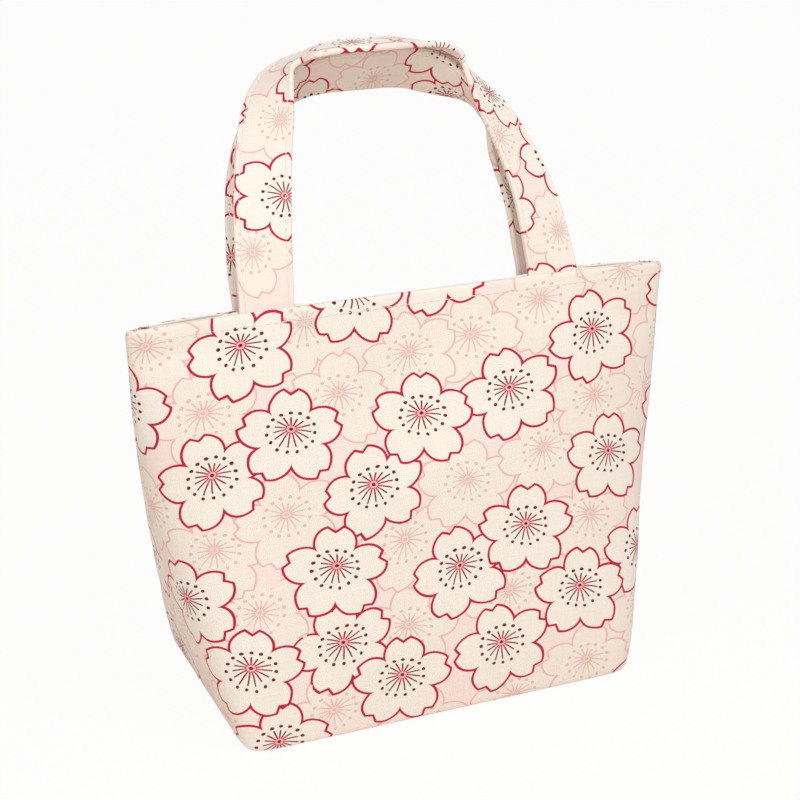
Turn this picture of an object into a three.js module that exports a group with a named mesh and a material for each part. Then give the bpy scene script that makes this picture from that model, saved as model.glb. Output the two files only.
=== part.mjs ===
import * as THREE from 'three';

// A small lunch tote of printed canvas with two short straps, standing open on its own.
// Millimetres, +Z up, front towards -Y, origin in the middle of the base where the bag stands.

// Bag body
const BASE_WIDTH = 200;
const BASE_DEPTH = 110;
const MOUTH_WIDTH = 271;
const FRONT_MOUTH_DEPTH = 10;
const BACK_MOUTH_DEPTH = 5.5;
const BAG_HEIGHT = 196.5;
const BASE_EDGE_RADIUS = 2.5;
const SIDE_SWELL = 3;

// How square the bag's level outline is, from the base up to the mouth
const BASE_SQUARENESS = 12;
const MOUTH_SQUARENESS = 2.6;
const CORNER_FADE_HEIGHT = 33;
const FRONT_FULLNESS = 1.6;

// The front of the mouth is pinched in between the straps, and the rim dips there and towards the
// side seams; the back rim sags lower, over more of its length
const MOUTH_PINCH = 0.5;
const PINCH_HALF_WIDTH = 41;
const PINCH_START = 0.55;
const FRONT_RIM_DIP = 2;
const BACK_RIM_DIP = 7;
const BACK_DIP_HALF_WIDTH = 85;
const SIDE_RIM_DIP = 4.5;

// Cloth
const CANVAS = 1.2;
const LINING = 0.8;
const CLEARANCE = 0.3;
const FACING = 1;
const FACING_DEPTH = 30;
const SIDE_SEAM_GAP = 0.3;
const FACING_SEAM_SETBACK = 10;

// Straps
const STRAP_WIDTH = 26;
const STRAP_THICKNESS = 2;
const STRAP_SPACING = 142;
const STRAP_END_LENGTH = 27;
const STRAP_END_THICKNESS = 1.6;
const STRAP_END_EASE = 10;
const FRONT_STRAP_RISE = 103.1;
const FRONT_STRAP_LEAN = 49.6;
const BACK_STRAP_RISE = 91.2;
const BACK_STRAP_LEAN = 51.8;

// Fineness of the cloth sheets
const SHEET_COLUMNS = 44;
const WALL_ROWS = 10;
const ROW_GRADING = 1.4;
const FACING_ROWS = 3;
const BASE_TURN_ROWS = [0, 0.15, 0.45];
const STRAP_STEPS = 64;
const STRAIGHT_EDGE_TURN = 0.002;

const FRONT = -1;
const BACK = 1;
const CANVAS_COLOUR = 0xf6ece0;
const LINING_COLOUR = 0xefe6d6;
const canvasLook = new THREE.MeshStandardMaterial({ color: CANVAS_COLOUR, roughness: 0.85, metalness: 0 });
const liningLook = new THREE.MeshStandardMaterial({ color: LINING_COLOUR, roughness: 0.9, metalness: 0 });

const { lerp, smoothstep } = THREE.MathUtils;

// Half the bag's width at a height, given as a share of the way up to the rim.
function halfWidth(share) {
  return lerp(BASE_WIDTH, MOUTH_WIDTH, share) / 2 + SIDE_SWELL * Math.sin(Math.PI * share);
}

// How far a side stands out from the side seams: nearly upright low down, then closing in towards
// the mouth.
function halfDepth(share, side) {
  const mouthDepth = side === FRONT ? FRONT_MOUTH_DEPTH : BACK_MOUTH_DEPTH;
  return lerp(BASE_DEPTH / 2, mouthDepth, share ** FRONT_FULLNESS);
}

// Power of the level outline |x/a|^n + |y/b|^n = 1: a box at the base, a long oval at the mouth.
function squareness(share) {
  const fade = Math.exp((-share * BAG_HEIGHT) / CORNER_FADE_HEIGHT);
  return lerp(MOUTH_SQUARENESS, BASE_SQUARENESS, fade);
}

// A smooth hollow in the middle of the mouth, 1 at its deepest.
function hollowAt(x, halfSpan) {
  return Math.exp(-((x / halfSpan) ** 2));
}

// Place along the mouth for a share (-1 to 1) of the way from its middle to a side seam.
function mouthPlace(across) {
  return (across * MOUTH_WIDTH) / 2;
}

// Height of the rim over the base at a place along the mouth.
function rimHeight(x, side) {
  const frontDip = FRONT_RIM_DIP * hollowAt(x, PINCH_HALF_WIDTH);
  const backDip = BACK_RIM_DIP * hollowAt(x, BACK_DIP_HALF_WIDTH);
  const along = (2 * x) / MOUTH_WIDTH;
  return BAG_HEIGHT - (side === FRONT ? frontDip : backDip) - SIDE_RIM_DIP * along ** 4;
}

// One quarter of a level outline, from the middle of a face round to the side seam.
function quarterOutline(share, side) {
  const a = halfWidth(share);
  const b = halfDepth(share, side);
  const n = squareness(share);
  const pinch = side === FRONT ? MOUTH_PINCH * smoothstep(share, PINCH_START, 1) : 0;
  const corner = 0.5 ** (1 / n);
  const steps = 40;
  const points = [];
  for (let i = 0; i <= steps; i += 1) {
    const x = (a * corner * i) / steps;
    points.push([x, b * (1 - (x / a) ** n) ** (1 / n)]);
  }
  for (let i = steps - 1; i >= 0; i -= 1) {
    const y = (b * corner * i) / steps;
    points.push([a * (1 - (y / b) ** n) ** (1 / n), y]);
  }
  return points.map(([x, y]) => new THREE.Vector2(x, y * (1 - pinch * hollowAt(x, PINCH_HALF_WIDTH))));
}

// Point of the outline a share of the way (-1 to 1) from the middle of a face to a side seam.
function outlinePoint(quarter, across) {
  const lengths = [0];
  for (let i = 1; i < quarter.length; i += 1) {
    lengths.push(lengths[i - 1] + quarter[i].distanceTo(quarter[i - 1]));
  }
  const wanted = Math.min(Math.abs(across), 1) * lengths[lengths.length - 1];
  let i = 1;
  while (i < lengths.length - 1 && lengths[i] < wanted) i += 1;
  const part = (wanted - lengths[i - 1]) / (lengths[i] - lengths[i - 1]);
  const point = quarter[i - 1].clone().lerp(quarter[i], part);
  point.x *= Math.sign(across);
  return point;
}

// How far the cloth turns in under the bag where the wall meets the base.
function baseTurnIn(z) {
  if (z >= BASE_EDGE_RADIUS) return 0;
  return BASE_EDGE_RADIUS - Math.sqrt(BASE_EDGE_RADIUS ** 2 - (BASE_EDGE_RADIUS - z) ** 2);
}

// Point on the bag's wall, moved inwards by a depth, at a height over the base.
function wallPoint(across, z, depth, side) {
  const quarter = quarterOutline(Math.min(z / rimHeight(mouthPlace(across), side), 1), side);
  const step = 0.01;
  const point = outlinePoint(quarter, across);
  const before = outlinePoint(quarter, Math.max(across - step, -1));
  const after = outlinePoint(quarter, Math.min(across + step, 1));
  const along = after.sub(before).normalize();
  const atSeam = Math.abs(across) > 1 - step / 2;
  const outwards = atSeam ? new THREE.Vector2(Math.sign(across), 0) : new THREE.Vector2(-along.y, along.x);
  const moved = point.addScaledVector(outwards, -depth - baseTurnIn(z));
  const clearOfSeam = Math.max(moved.y, SIDE_SEAM_GAP / 2);
  return new THREE.Vector3(moved.x, side * clearOfSeam, z);
}

// A closed sheet from rows of points on its two faces; grid[row][column] for each face.
function sheetGeometry(outer, inner) {
  const rows = outer.length;
  const columns = outer[0].length;
  const positions = [...outer.flat(), ...inner.flat()].flatMap((p) => [p.x, p.y, p.z]);
  const index = [];
  const at = (face, row, column) => face * rows * columns + row * columns + column;
  const quad = (a, b, c, d) => index.push(a, b, c, a, c, d);
  for (let r = 0; r < rows - 1; r += 1) {
    for (let c = 0; c < columns - 1; c += 1) {
      quad(at(0, r, c), at(0, r, c + 1), at(0, r + 1, c + 1), at(0, r + 1, c));
      quad(at(1, r, c), at(1, r + 1, c), at(1, r + 1, c + 1), at(1, r, c + 1));
    }
  }
  for (let c = 0; c < columns - 1; c += 1) {
    quad(at(0, 0, c), at(1, 0, c), at(1, 0, c + 1), at(0, 0, c + 1));
    quad(at(0, rows - 1, c), at(0, rows - 1, c + 1), at(1, rows - 1, c + 1), at(1, rows - 1, c));
  }
  for (let r = 0; r < rows - 1; r += 1) {
    quad(at(0, r, 0), at(0, r + 1, 0), at(1, r + 1, 0), at(1, r, 0));
    quad(at(0, r, columns - 1), at(1, r, columns - 1), at(1, r + 1, columns - 1), at(0, r + 1, columns - 1));
  }
  const geometry = new THREE.BufferGeometry();
  geometry.setAttribute('position', new THREE.Float32BufferAttribute(positions, 3));
  geometry.setIndex(index);
  return geometry;
}

// A layer of cloth on one side of the bag, between two heights and two depths into the wall.
function wallSheet({ side, columns, heights, outerDepth, innerDepth }) {
  const ordered = side === FRONT ? columns : [...columns].reverse();
  const rowCount = heights(ordered[0]).length;
  const face = (depthAt) => {
    const rows = [];
    for (let r = 0; r < rowCount; r += 1) {
      rows.push(ordered.map((across) => wallPoint(across, heights(across)[r], depthAt(across), side)));
    }
    return rows;
  };
  return sheetGeometry(face(outerDepth), face(innerDepth));
}

function evenSteps(low, high, count) {
  return Array.from({ length: count + 1 }, (_, i) => lerp(low, high, i / count));
}

const allColumns = evenSteps(-1, 1, SHEET_COLUMNS);
const facingReach = 1 - (2 * FACING_SEAM_SETBACK) / MOUTH_WIDTH;
const facingColumns = allColumns.filter((across) => Math.abs(across) < facingReach);

const tote = new THREE.Group();

function add(name, geometry, look) {
  geometry.computeVertexNormals();
  const mesh = new THREE.Mesh(geometry, look);
  mesh.name = name;
  tote.add(mesh);
}

// Heights of the wall's rows up to the facing, closer together near the base, where it bends most.
function wallRows(across, side) {
  const top = rimHeight(mouthPlace(across), side) - FACING_DEPTH;
  return evenSteps(0, 1, WALL_ROWS).map((share) => lerp(BASE_EDGE_RADIUS, top, share ** ROW_GRADING));
}

// Heights of the rows over the facing, up to the rim.
function mouthRows(across, side) {
  const rim = rimHeight(mouthPlace(across), side);
  return evenSteps(rim - FACING_DEPTH, rim, FACING_ROWS);
}

// Outer panels: front and back, each reaching round to the seams in the middle of the sides.
function outerPanel(side) {
  const turn = BASE_TURN_ROWS.map((share) => share * BASE_EDGE_RADIUS);
  const heights = (across) => [
    ...turn,
    ...wallRows(across, side),
    ...mouthRows(across, side).slice(1),
  ];
  return wallSheet({
    side,
    columns: allColumns,
    heights,
    outerDepth: () => 0,
    innerDepth: () => CANVAS,
  });
}

// Lining panels, from just over the base cloth up to the lower edge of the facing.
const liningDepth = CANVAS + CLEARANCE;
const liningFoot = CANVAS + CLEARANCE;

function liningPanel(side) {
  const heights = (across) => {
    const rows = wallRows(across, side);
    const top = rows.pop() - CLEARANCE;
    return [liningFoot, ...rows, top];
  };
  return wallSheet({
    side,
    columns: allColumns,
    heights,
    outerDepth: () => liningDepth,
    innerDepth: () => liningDepth + LINING,
  });
}

// Base panels: flat pieces that the walls stand round.
function basePanel(depth, bottom, thickness) {
  const share = bottom / BAG_HEIGHT;
  const inset = depth + baseTurnIn(bottom);
  const shrink = new THREE.Vector2(1 - inset / halfWidth(share), inset / halfDepth(share, FRONT) - 1);
  const quarter = quarterOutline(share, FRONT);
  const front = allColumns.map((across) => outlinePoint(quarter, across).multiply(shrink));
  const back = front.slice(1, -1).reverse().map((p) => new THREE.Vector2(p.x, -p.y));
  const loop = [...front, ...back];
  const shape = new THREE.Shape(loop.filter((point, i) => {
    const before = point.clone().sub(loop.at(i - 1)).normalize();
    const after = loop[(i + 1) % loop.length].clone().sub(point).normalize();
    return Math.abs(before.cross(after)) > STRAIGHT_EDGE_TURN;
  }));
  const geometry = new THREE.ExtrudeGeometry(shape, { depth: thickness, bevelEnabled: false });
  geometry.translate(0, 0, bottom);
  return geometry;
}

// Share of the full strap-end thickness that the facing stands off the canvas at a place.
function strapEndBulge(across) {
  const away = Math.abs(Math.abs(mouthPlace(across)) - STRAP_SPACING / 2) - STRAP_WIDTH / 2;
  return 1 - smoothstep(away, CLEARANCE, STRAP_END_EASE);
}

// Facings: bands of the printed cloth inside the mouth, sewn over the strap ends.
function facingBand(side) {
  const depthAt = (across) => {
    const overStrap = strapEndBulge(across) * (STRAP_END_THICKNESS + CLEARANCE);
    return CANVAS + CLEARANCE + overStrap;
  };
  return wallSheet({
    side,
    columns: facingColumns,
    heights: (across) => mouthRows(across, side),
    outerDepth: depthAt,
    innerDepth: (across) => depthAt(across) + FACING,
  });
}

// Sewn-in strap ends, flat between the canvas and the facing.
function strapEnd(side, hand) {
  const half = STRAP_WIDTH / MOUTH_WIDTH;
  const middle = (hand * STRAP_SPACING) / MOUTH_WIDTH;
  const heights = (across) => {
    const rim = rimHeight(mouthPlace(across), side);
    return [rim - STRAP_END_LENGTH, ...mouthRows(across, side).slice(1)];
  };
  return wallSheet({
    side,
    columns: evenSteps(middle - half, middle + half, 4),
    heights,
    outerDepth: () => CANVAS + CLEARANCE,
    innerDepth: () => CANVAS + CLEARANCE + STRAP_END_THICKNESS,
  });
}

// Straps: flat bands that stand on the rim, turn on the way up and lean back together, the front one
// arching over the back one.
// A station is [across, back, up] as shares of the strap's spacing, lean and rise, and the way from
// the band's rear edge to its front edge there.
const frontStrapStations = [
  { share: [1, 0, 0], edge: [1, 0, 0] },
  { share: [0.937, 0.355, 0.369], edge: [0.96, -0.25, 0.1] },
  { share: [0.793, 0.826, 0.686], edge: [0.74, -0.67, -0.03] },
  { share: [0.622, 1.169, 0.895], edge: [0.22, -0.94, 0.26] },
  { share: [0.347, 1.107, 0.977], edge: [-0.42, -0.9, 0.08] },
  { share: [0, 1, 1], edge: [0, -0.99, 0.1] },
];
const backStrapStations = [
  { share: [1, 0, 0], edge: [1, 0, 0] },
  { share: [0.947, 0.415, 0.306], edge: [0.75, -0.64, 0.19] },
  { share: [0.877, 0.704, 0.554], edge: [0.55, -0.83, 0.01] },
  { share: [0.778, 0.868, 0.773], edge: [0.17, -0.98, 0.04] },
  { share: [0.461, 1.053, 0.944], edge: [-0.24, -0.6, 0.77] },
  { share: [0, 1, 1], edge: [0, -0.56, 0.83] },
];

// Foot of a strap's middle line, clear of the rim right across the strap.
function strapFoot(side) {
  const place = STRAP_SPACING / MOUTH_WIDTH;
  const depth = CANVAS + CLEARANCE + STRAP_END_THICKNESS / 2;
  const foot = wallPoint(place, rimHeight(STRAP_SPACING / 2, side), depth, side);
  const rims = [-0.5, 0, 0.5].map((share) => rimHeight(STRAP_SPACING / 2 + share * STRAP_WIDTH, side));
  foot.z = Math.max(...rims) + CLEARANCE;
  return foot;
}

function strapBand(stations, side, rise, lean) {
  const foot = strapFoot(side);
  const place = ({ share: [across, back, up] }) =>
    new THREE.Vector3(-across * foot.x, foot.y + back * lean, foot.z + up * rise);
  const mirrored = (v) => new THREE.Vector3(-v.x, v.y, v.z);
  const leftHalf = stations.map(place);
  const leftEdges = stations.map(({ edge }) => new THREE.Vector3(...edge).normalize());
  const bothHalves = (half) => [...half, ...half.slice(0, -1).reverse().map(mirrored)];
  const centre = new THREE.CatmullRomCurve3(bothHalves(leftHalf), false, 'centripetal');
  const frontEdge = new THREE.CatmullRomCurve3(bothHalves(leftEdges), false, 'centripetal');
  const upper = [];
  const lower = [];
  for (let i = 0; i <= STRAP_STEPS; i += 1) {
    const t = i / STRAP_STEPS;
    const point = centre.getPoint(t);
    const atFoot = i === 0 || i === STRAP_STEPS;
    const tangent = centre.getTangent(t);
    if (atFoot) tangent.set(0, 0, i === 0 ? 1 : -1);
    const across = frontEdge.getPoint(t);
    across.addScaledVector(tangent, -across.dot(tangent)).normalize();
    const outwards = new THREE.Vector3().crossVectors(across, tangent);
    const corner = (edge, face) =>
      point
        .clone()
        .addScaledVector(across, (edge * STRAP_WIDTH) / 2)
        .addScaledVector(outwards, (face * STRAP_THICKNESS) / 2);
    upper.push([corner(-1, 1), corner(1, 1)]);
    lower.push([corner(-1, -1), corner(1, -1)]);
  }
  return sheetGeometry(upper, lower);
}

add('outer_front_panel', outerPanel(FRONT), canvasLook);
add('outer_back_panel', outerPanel(BACK), canvasLook);
add('outer_base_panel', basePanel(CANVAS + CLEARANCE, 0, CANVAS), canvasLook);
add('lining_front_panel', liningPanel(FRONT), liningLook);
add('lining_back_panel', liningPanel(BACK), liningLook);
add('lining_base_panel', basePanel(liningDepth + LINING + CLEARANCE, liningFoot, LINING), liningLook);
add('facing_front', facingBand(FRONT), canvasLook);
add('facing_back', facingBand(BACK), canvasLook);
add('front_strap', strapBand(frontStrapStations, FRONT, FRONT_STRAP_RISE, FRONT_STRAP_LEAN), canvasLook);
add('back_strap', strapBand(backStrapStations, BACK, BACK_STRAP_RISE, BACK_STRAP_LEAN), canvasLook);
for (const [sideName, side] of [['front', FRONT], ['back', BACK]]) {
  for (const [handName, hand] of [['left', -1], ['right', 1]]) {
    add(`${sideName}_strap_end_${handName}`, strapEnd(side, hand), canvasLook);
  }
}

export default tote;
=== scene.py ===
import math

import bpy
import numpy as np
from mathutils import Matrix, Vector


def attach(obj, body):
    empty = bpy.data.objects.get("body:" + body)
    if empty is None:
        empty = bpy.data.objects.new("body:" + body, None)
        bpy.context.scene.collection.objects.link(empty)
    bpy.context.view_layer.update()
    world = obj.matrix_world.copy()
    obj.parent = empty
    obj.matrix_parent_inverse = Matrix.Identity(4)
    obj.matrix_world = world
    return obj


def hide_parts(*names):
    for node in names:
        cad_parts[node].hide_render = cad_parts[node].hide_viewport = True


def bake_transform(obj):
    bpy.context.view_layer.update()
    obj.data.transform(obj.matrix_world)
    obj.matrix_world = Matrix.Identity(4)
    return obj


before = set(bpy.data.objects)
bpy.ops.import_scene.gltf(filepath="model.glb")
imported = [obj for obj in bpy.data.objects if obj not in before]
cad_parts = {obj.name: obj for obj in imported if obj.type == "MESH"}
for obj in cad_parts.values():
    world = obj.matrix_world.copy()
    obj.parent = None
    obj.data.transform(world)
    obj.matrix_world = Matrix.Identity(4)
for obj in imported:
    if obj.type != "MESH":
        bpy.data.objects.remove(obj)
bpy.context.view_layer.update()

# Outer panels: the printed cotton canvas of the bag's front and back. Each reaches round to a seam up
# the middle of the sides, stands on the base and leans in to the mouth, which closes up between the
# straps. Sizes are in millimetres.
MM = 0.001
FRONT = -1
BACK = 1
BASE_WIDTH = 200
BASE_DEPTH = 110
MOUTH_WIDTH = 271
MOUTH_DEPTH = {FRONT: 10, BACK: 5.5}
BAG_HEIGHT = 196.5
BASE_EDGE_RADIUS = 2.5
SIDE_SWELL = 8
BASE_SQUARENESS = 18
MOUTH_SQUARENESS = 2.6
CORNER_FADE_HEIGHT = 33
FRONT_FULLNESS = 1.6
FOOT_BELLY = 4.5
FOOT_SPREAD = 1
FOOT_BELLY_TOP = 0.5
MOUTH_PINCH = {FRONT: 0.5, BACK: 0}
PINCH_HALF_WIDTH = 41
PINCH_START = 0.55
RIM_DIP = {FRONT: 2, BACK: 7}
RIM_DIP_HALF_WIDTH = {FRONT: 41, BACK: 85}
SIDE_RIM_DIP = 4.5
STRAP_SPACING = 142
SEAM_GAP = 0.3
CANVAS = 1.2
CLEARANCE = 0.3
PANEL_COLUMNS = 150
PANEL_ROWS = 92
OUTLINE_POINTS = 90
LADDER_STEPS = 70
WALL_LENGTH = 196
SEAM_PLACE = 148


def smooth_step(value, low, high):
    t = np.clip((value - low) / (high - low), 0, 1)
    return t * t * (3 - 2 * t)


def rim_height(across, side):
    x = np.asarray(across, float) * MOUTH_WIDTH / 2
    dip = RIM_DIP[side] * np.exp(-((x / RIM_DIP_HALF_WIDTH[side]) ** 2))
    return BAG_HEIGHT - dip - SIDE_RIM_DIP * (2 * x / MOUTH_WIDTH) ** 4


def squareness(share):
    """How square the wall's corners are: sharp at the foot, round at the mouth."""
    fade = math.exp(-share * BAG_HEIGHT / CORNER_FADE_HEIGHT)
    return MOUTH_SQUARENESS + (BASE_SQUARENESS - MOUTH_SQUARENESS) * fade


def level_outline(share, side):
    """A quarter of the wall's level outline, from the middle of a face to a side seam."""
    belly = 1 - smooth_step(share, 0, FOOT_BELLY_TOP)
    width = (BASE_WIDTH + (MOUTH_WIDTH - BASE_WIDTH) * share) / 2 + SIDE_SWELL * math.sin(math.pi * share)
    width = width + FOOT_SPREAD * belly
    lean = (MOUTH_DEPTH[side] - BASE_DEPTH / 2) * share**FRONT_FULLNESS
    depth = BASE_DEPTH / 2 + lean + FOOT_BELLY * belly
    n = squareness(share)
    corner = 0.5 ** (1 / n)
    x_face = width * corner * np.linspace(0, 1, OUTLINE_POINTS)
    y_face = depth * (1 - (x_face / width) ** n) ** (1 / n)
    y_side = depth * corner * np.linspace(1, 0, OUTLINE_POINTS)[1:]
    x_side = width * (1 - (y_side / depth) ** n) ** (1 / n)
    x = np.concatenate([x_face, x_side])
    y = np.concatenate([y_face, y_side])
    pinch = MOUTH_PINCH[side] * smooth_step(share, PINCH_START, 1)
    return x, y * (1 - pinch * np.exp(-((x / PINCH_HALF_WIDTH) ** 2)))


def bare_wall(across, share, side):
    """Wall points, level outward directions and places along the cloth, on a grid of rows and columns."""
    points = np.zeros((len(share), len(across), 3))
    outward = np.zeros_like(points)
    along = np.zeros(points.shape[:2])
    hand = np.sign(across)
    for row, height in enumerate(share):
        x, y = level_outline(height, side)
        length = np.concatenate([[0], np.cumsum(np.hypot(np.diff(x), np.diff(y)))])
        wanted = np.abs(across) * length[-1]
        along[row] = hand * wanted
        points[row, :, 0] = hand * np.interp(wanted, length, x)
        points[row, :, 1] = side * np.interp(wanted, length, y)
        outward[row, :, 0] = hand * np.interp(wanted, length, -np.gradient(y, length))
        outward[row, :, 1] = side * np.interp(wanted, length, np.gradient(x, length))
    points[:, :, 2] = np.asarray(share)[:, None] * rim_height(across, side)[None, :]
    outward /= np.linalg.norm(outward, axis=2)[:, :, None]
    return points, outward, along


# Folds run up from the corners of the foot, in towards the straps. Each is how far it stands out, how far
# inside the fold's line it lies, its half width, and the share of the rise at which it is fullest.
CORNER_FOLDS = (
    (0.9, 0, 9, 0.35),
    (-0.6, 15, 11, 0.4),
)
CORNER_FOLD_RISE = 120
CORNER_FOLD_FOOT = 98
CORNER_FOLD_LEAN = 34
CORNER_FOLD_REACH = 0.4
STRAP_PULL = 0.5
STRAP_PULL_HALF_WIDTH = 15
STRAP_PULL_DROP = 32
# A dent is its place across and up from the middle of the rim, its half width and half height, and its
# depth. The back's dents are those of the front, turned round with the side.
DENTS = (
    (-22, -62, 34, 26, 0.8),
    (-115, -12, 22, 7, 1.6),
    (66, -13, 24, 7, 1.3),
    (122, -25, 16, 7, 1.2),
)
# A wave is its height, the lengths across and up of the two ripples that cross in it, and their shifts.
WAVES = (
    (0.5, (19, 31), (-47, 23), (1, 2)),
    (0.25, (8.5, -13), (21, 9.5), (3, 0)),
)
FOOT_HOLD = (-203, -176)
RIM_HOLD = (1, 16)
SEAM_HOLD = (2, 24)


def swell(aside, half_width, above, half_height):
    """A soft rise that is 1 in its middle and fades aside and above."""
    return np.exp(-((aside / half_width) ** 2)) * np.exp(-((above / half_height) ** 2))


def slack(u, v, side):
    """How far the soft cloth stands in or out of its even shape at a place on the flat cloth."""
    fold = np.zeros_like(u)
    for corner in (-1, 1):
        run = (v + WALL_LENGTH) / CORNER_FOLD_RISE
        line = corner * (CORNER_FOLD_FOOT - CORNER_FOLD_LEAN * run)
        for stand, inside, half_width, fullest in CORNER_FOLDS:
            fold += stand * swell(u - line + corner * inside, half_width, run - fullest, CORNER_FOLD_REACH)
        from_strap = u - corner * STRAP_SPACING / 2
        fold += STRAP_PULL * swell(from_strap, STRAP_PULL_HALF_WIDTH, v, STRAP_PULL_DROP)
    for dent_u, dent_v, half_width, half_height, depth in DENTS:
        fold -= depth * swell(u + side * dent_u, half_width, v - dent_v, half_height)
    for height, one, other, shift in WAVES:
        one_ripple = np.sin(u / one[0] + v / one[1] + shift[0] * side)
        other_ripple = np.sin(u / other[0] + v / other[1] + shift[1] * side)
        fold += height * one_ripple * other_ripple
    held_at_foot = smooth_step(v, *FOOT_HOLD)
    held_at_rim = smooth_step(-v, *RIM_HOLD)
    held_at_seam = smooth_step(SEAM_PLACE - np.abs(u), *SEAM_HOLD)
    return fold * held_at_foot * held_at_rim * held_at_seam


def wall_grid(across, share, depth, side):
    """Points on a layer of the wall, moved in by a depth, and their places on the flat cloth."""
    across = np.asarray(across, float)
    share = np.asarray(share, float)
    table = np.linspace(0, 1, LADDER_STEPS)
    ladder = bare_wall(across, table, side)[0]
    rise = np.linalg.norm(np.diff(ladder, axis=0), axis=2)
    climbed = np.concatenate([np.zeros((1, len(across))), np.cumsum(rise, axis=0)])
    points, outward, u = bare_wall(across, share, side)
    below = (climbed - climbed[-1]).T
    v = np.stack([np.interp(share, table, column) for column in below], axis=1)
    foot = np.clip(BASE_EDGE_RADIUS - points[:, :, 2], 0, BASE_EDGE_RADIUS)
    turn_in = BASE_EDGE_RADIUS - np.sqrt(BASE_EDGE_RADIUS**2 - foot**2)
    moved = points - outward * (depth + turn_in - slack(u, v, side))[:, :, None]
    moved[:, :, 1] = side * np.maximum(side * moved[:, :, 1], SEAM_GAP / 2)
    return moved, np.stack([u, v], axis=2)


# The print is an all-over cherry blossom pattern: red-lined blossoms over paler ones on a blush ground.
# A blossom is its place on the cloth, across and up from the middle of the rim, and its turn in degrees.
# Where blossoms overlap, the one that comes first in its list is on top.
BLOSSOM = 26
BLOSSOM_SQUASH = 0.85
UPRIGHT = -6
TURNED = 14
BLOSSOM_REACH = 1.08 * BLOSSOM + 4
OUT_OF_REACH = 9
RED_BLOSSOMS = [
    (-68, -57, UPRIGHT),
    (-2, -59, UPRIGHT),
    (95, -92, UPRIGHT),
    (45, -119, UPRIGHT),
    (-53, -123, UPRIGHT),
    (-97, -164, UPRIGHT),
    (-24, -181, UPRIGHT),
    (73, -155, UPRIGHT),
    (-30, 1, UPRIGHT),
    (-86, -202, UPRIGHT),
    (146, -76, UPRIGHT),
    (-146, -37, UPRIGHT),
    (113, -143, UPRIGHT),
    (-86, -16, TURNED),
    (44, -53, TURNED),
    (91, -32, TURNED),
    (-105, -72, TURNED),
    (-30, -88, TURNED),
    (10, -134, TURNED),
    (-52, -159, TURNED),
    (29, -175, TURNED),
    (14, 10, TURNED),
    (-124, -130, TURNED),
    (140, -176, TURNED),
    (151, -14, TURNED),
    (115, -206, TURNED),
]
PALE_BLOSSOMS = [
    (-106, -43, TURNED),
    (-43, -44, UPRIGHT),
    (-4, -30, TURNED),
    (27, -26, UPRIGHT),
    (64, -14, TURNED),
    (88, -63, UPRIGHT),
    (58, -84, TURNED),
    (16, -93, UPRIGHT),
    (-73, -95, TURNED),
    (-108, -107, UPRIGHT),
    (-17, -116, TURNED),
    (80, -121, UPRIGHT),
    (-90, -138, TURNED),
    (-19, -157, UPRIGHT),
    (35, -150, TURNED),
    (75, -194, UPRIGHT),
    (-58, -191, TURNED),
    (-129, -10, UPRIGHT),
    (-55, -10, TURNED),
    (110, -4, UPRIGHT),
    (139, -38, TURNED),
    (121, -64, TURNED),
    (-139, -87, TURNED),
    (-140, -150, UPRIGHT),
    (112, -172, TURNED),
    (-118, -190, UPRIGHT),
    (36, -204, TURNED),
    (-14, -209, UPRIGHT),
    (146, -140, UPRIGHT),
]
REPEAT_WIDTH = 292
REPEAT_HEIGHT = 208
RED_SPACING = 33
PALE_SPACING = 18
BACK_CUT = (118, -71)
BASE_CUT = (40, -30)


def cut_from_cloth(blossoms, cut, spacing):
    """The same print where the piece is cut from another place on the cloth, with none crowded together."""
    sideways, down = cut
    places = []
    for u, v, turn in blossoms:
        u_home = (u + sideways + REPEAT_WIDTH / 2) % REPEAT_WIDTH - REPEAT_WIDTH / 2
        v_home = (v + down) % REPEAT_HEIGHT - REPEAT_HEIGHT
        for step in (-REPEAT_WIDTH, 0, REPEAT_WIDTH):
            for lift in (-REPEAT_HEIGHT, 0, REPEAT_HEIGHT):
                place = (u_home + step, v_home + lift, turn)
                if all(math.dist(place[:2], other[:2]) > spacing for other in places):
                    places.append(place)
    return places


def lay_print(mesh, corner_flat, name, blossoms, breadth):
    """Keeps, at each face corner, the place within the two uppermost blossoms that reach the face."""
    middle = corner_flat.mean(axis=1)
    places = np.array([(u, v) for u, v, _ in blossoms], float)
    turns = np.radians([turn for _, _, turn in blossoms])
    gap = np.linalg.norm(middle[:, None, :] - places[None, :, :], axis=2)
    reaches = gap < BLOSSOM_REACH
    every = np.arange(len(middle))
    for layer in ("over", "under"):
        chosen = reaches.argmax(axis=1)
        found = reaches[every, chosen]
        reaches[every, chosen] = False
        offset = (corner_flat - places[chosen][:, None, :]) / BLOSSOM
        cos = np.cos(turns[chosen])[:, None]
        sin = np.sin(turns[chosen])[:, None]
        local = np.zeros(corner_flat.shape[:2] + (3,), np.float32)
        aside = offset[:, :, 0] * cos + offset[:, :, 1] * sin
        up = (offset[:, :, 1] * cos - offset[:, :, 0] * sin) / BLOSSOM_SQUASH
        local[:, :, 0] = np.where(found[:, None], aside / breadth, OUT_OF_REACH)
        local[:, :, 1] = np.where(found[:, None], up, OUT_OF_REACH)
        store = mesh.attributes.new(f"{name}_{layer}", "FLOAT_VECTOR", "CORNER")
        store.data.foreach_set("vector", local.ravel())


def lay_cloth(mesh, corner_flat, corner_bake):
    """Keeps the flat cloth's place and the finish map at each face corner, and smooths the faces."""
    place = np.zeros(corner_flat.shape[:2] + (3,), np.float32)
    place[:, :, :2] = corner_flat
    store = mesh.attributes.new("cloth_mm", "FLOAT_VECTOR", "CORNER")
    store.data.foreach_set("vector", place.ravel())
    layer = mesh.uv_layers.new(name="OFBake")
    layer.data.foreach_set("uv", corner_bake.astype(np.float32).ravel())
    mesh.polygons.foreach_set("use_smooth", np.ones(len(mesh.polygons), bool))


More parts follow.
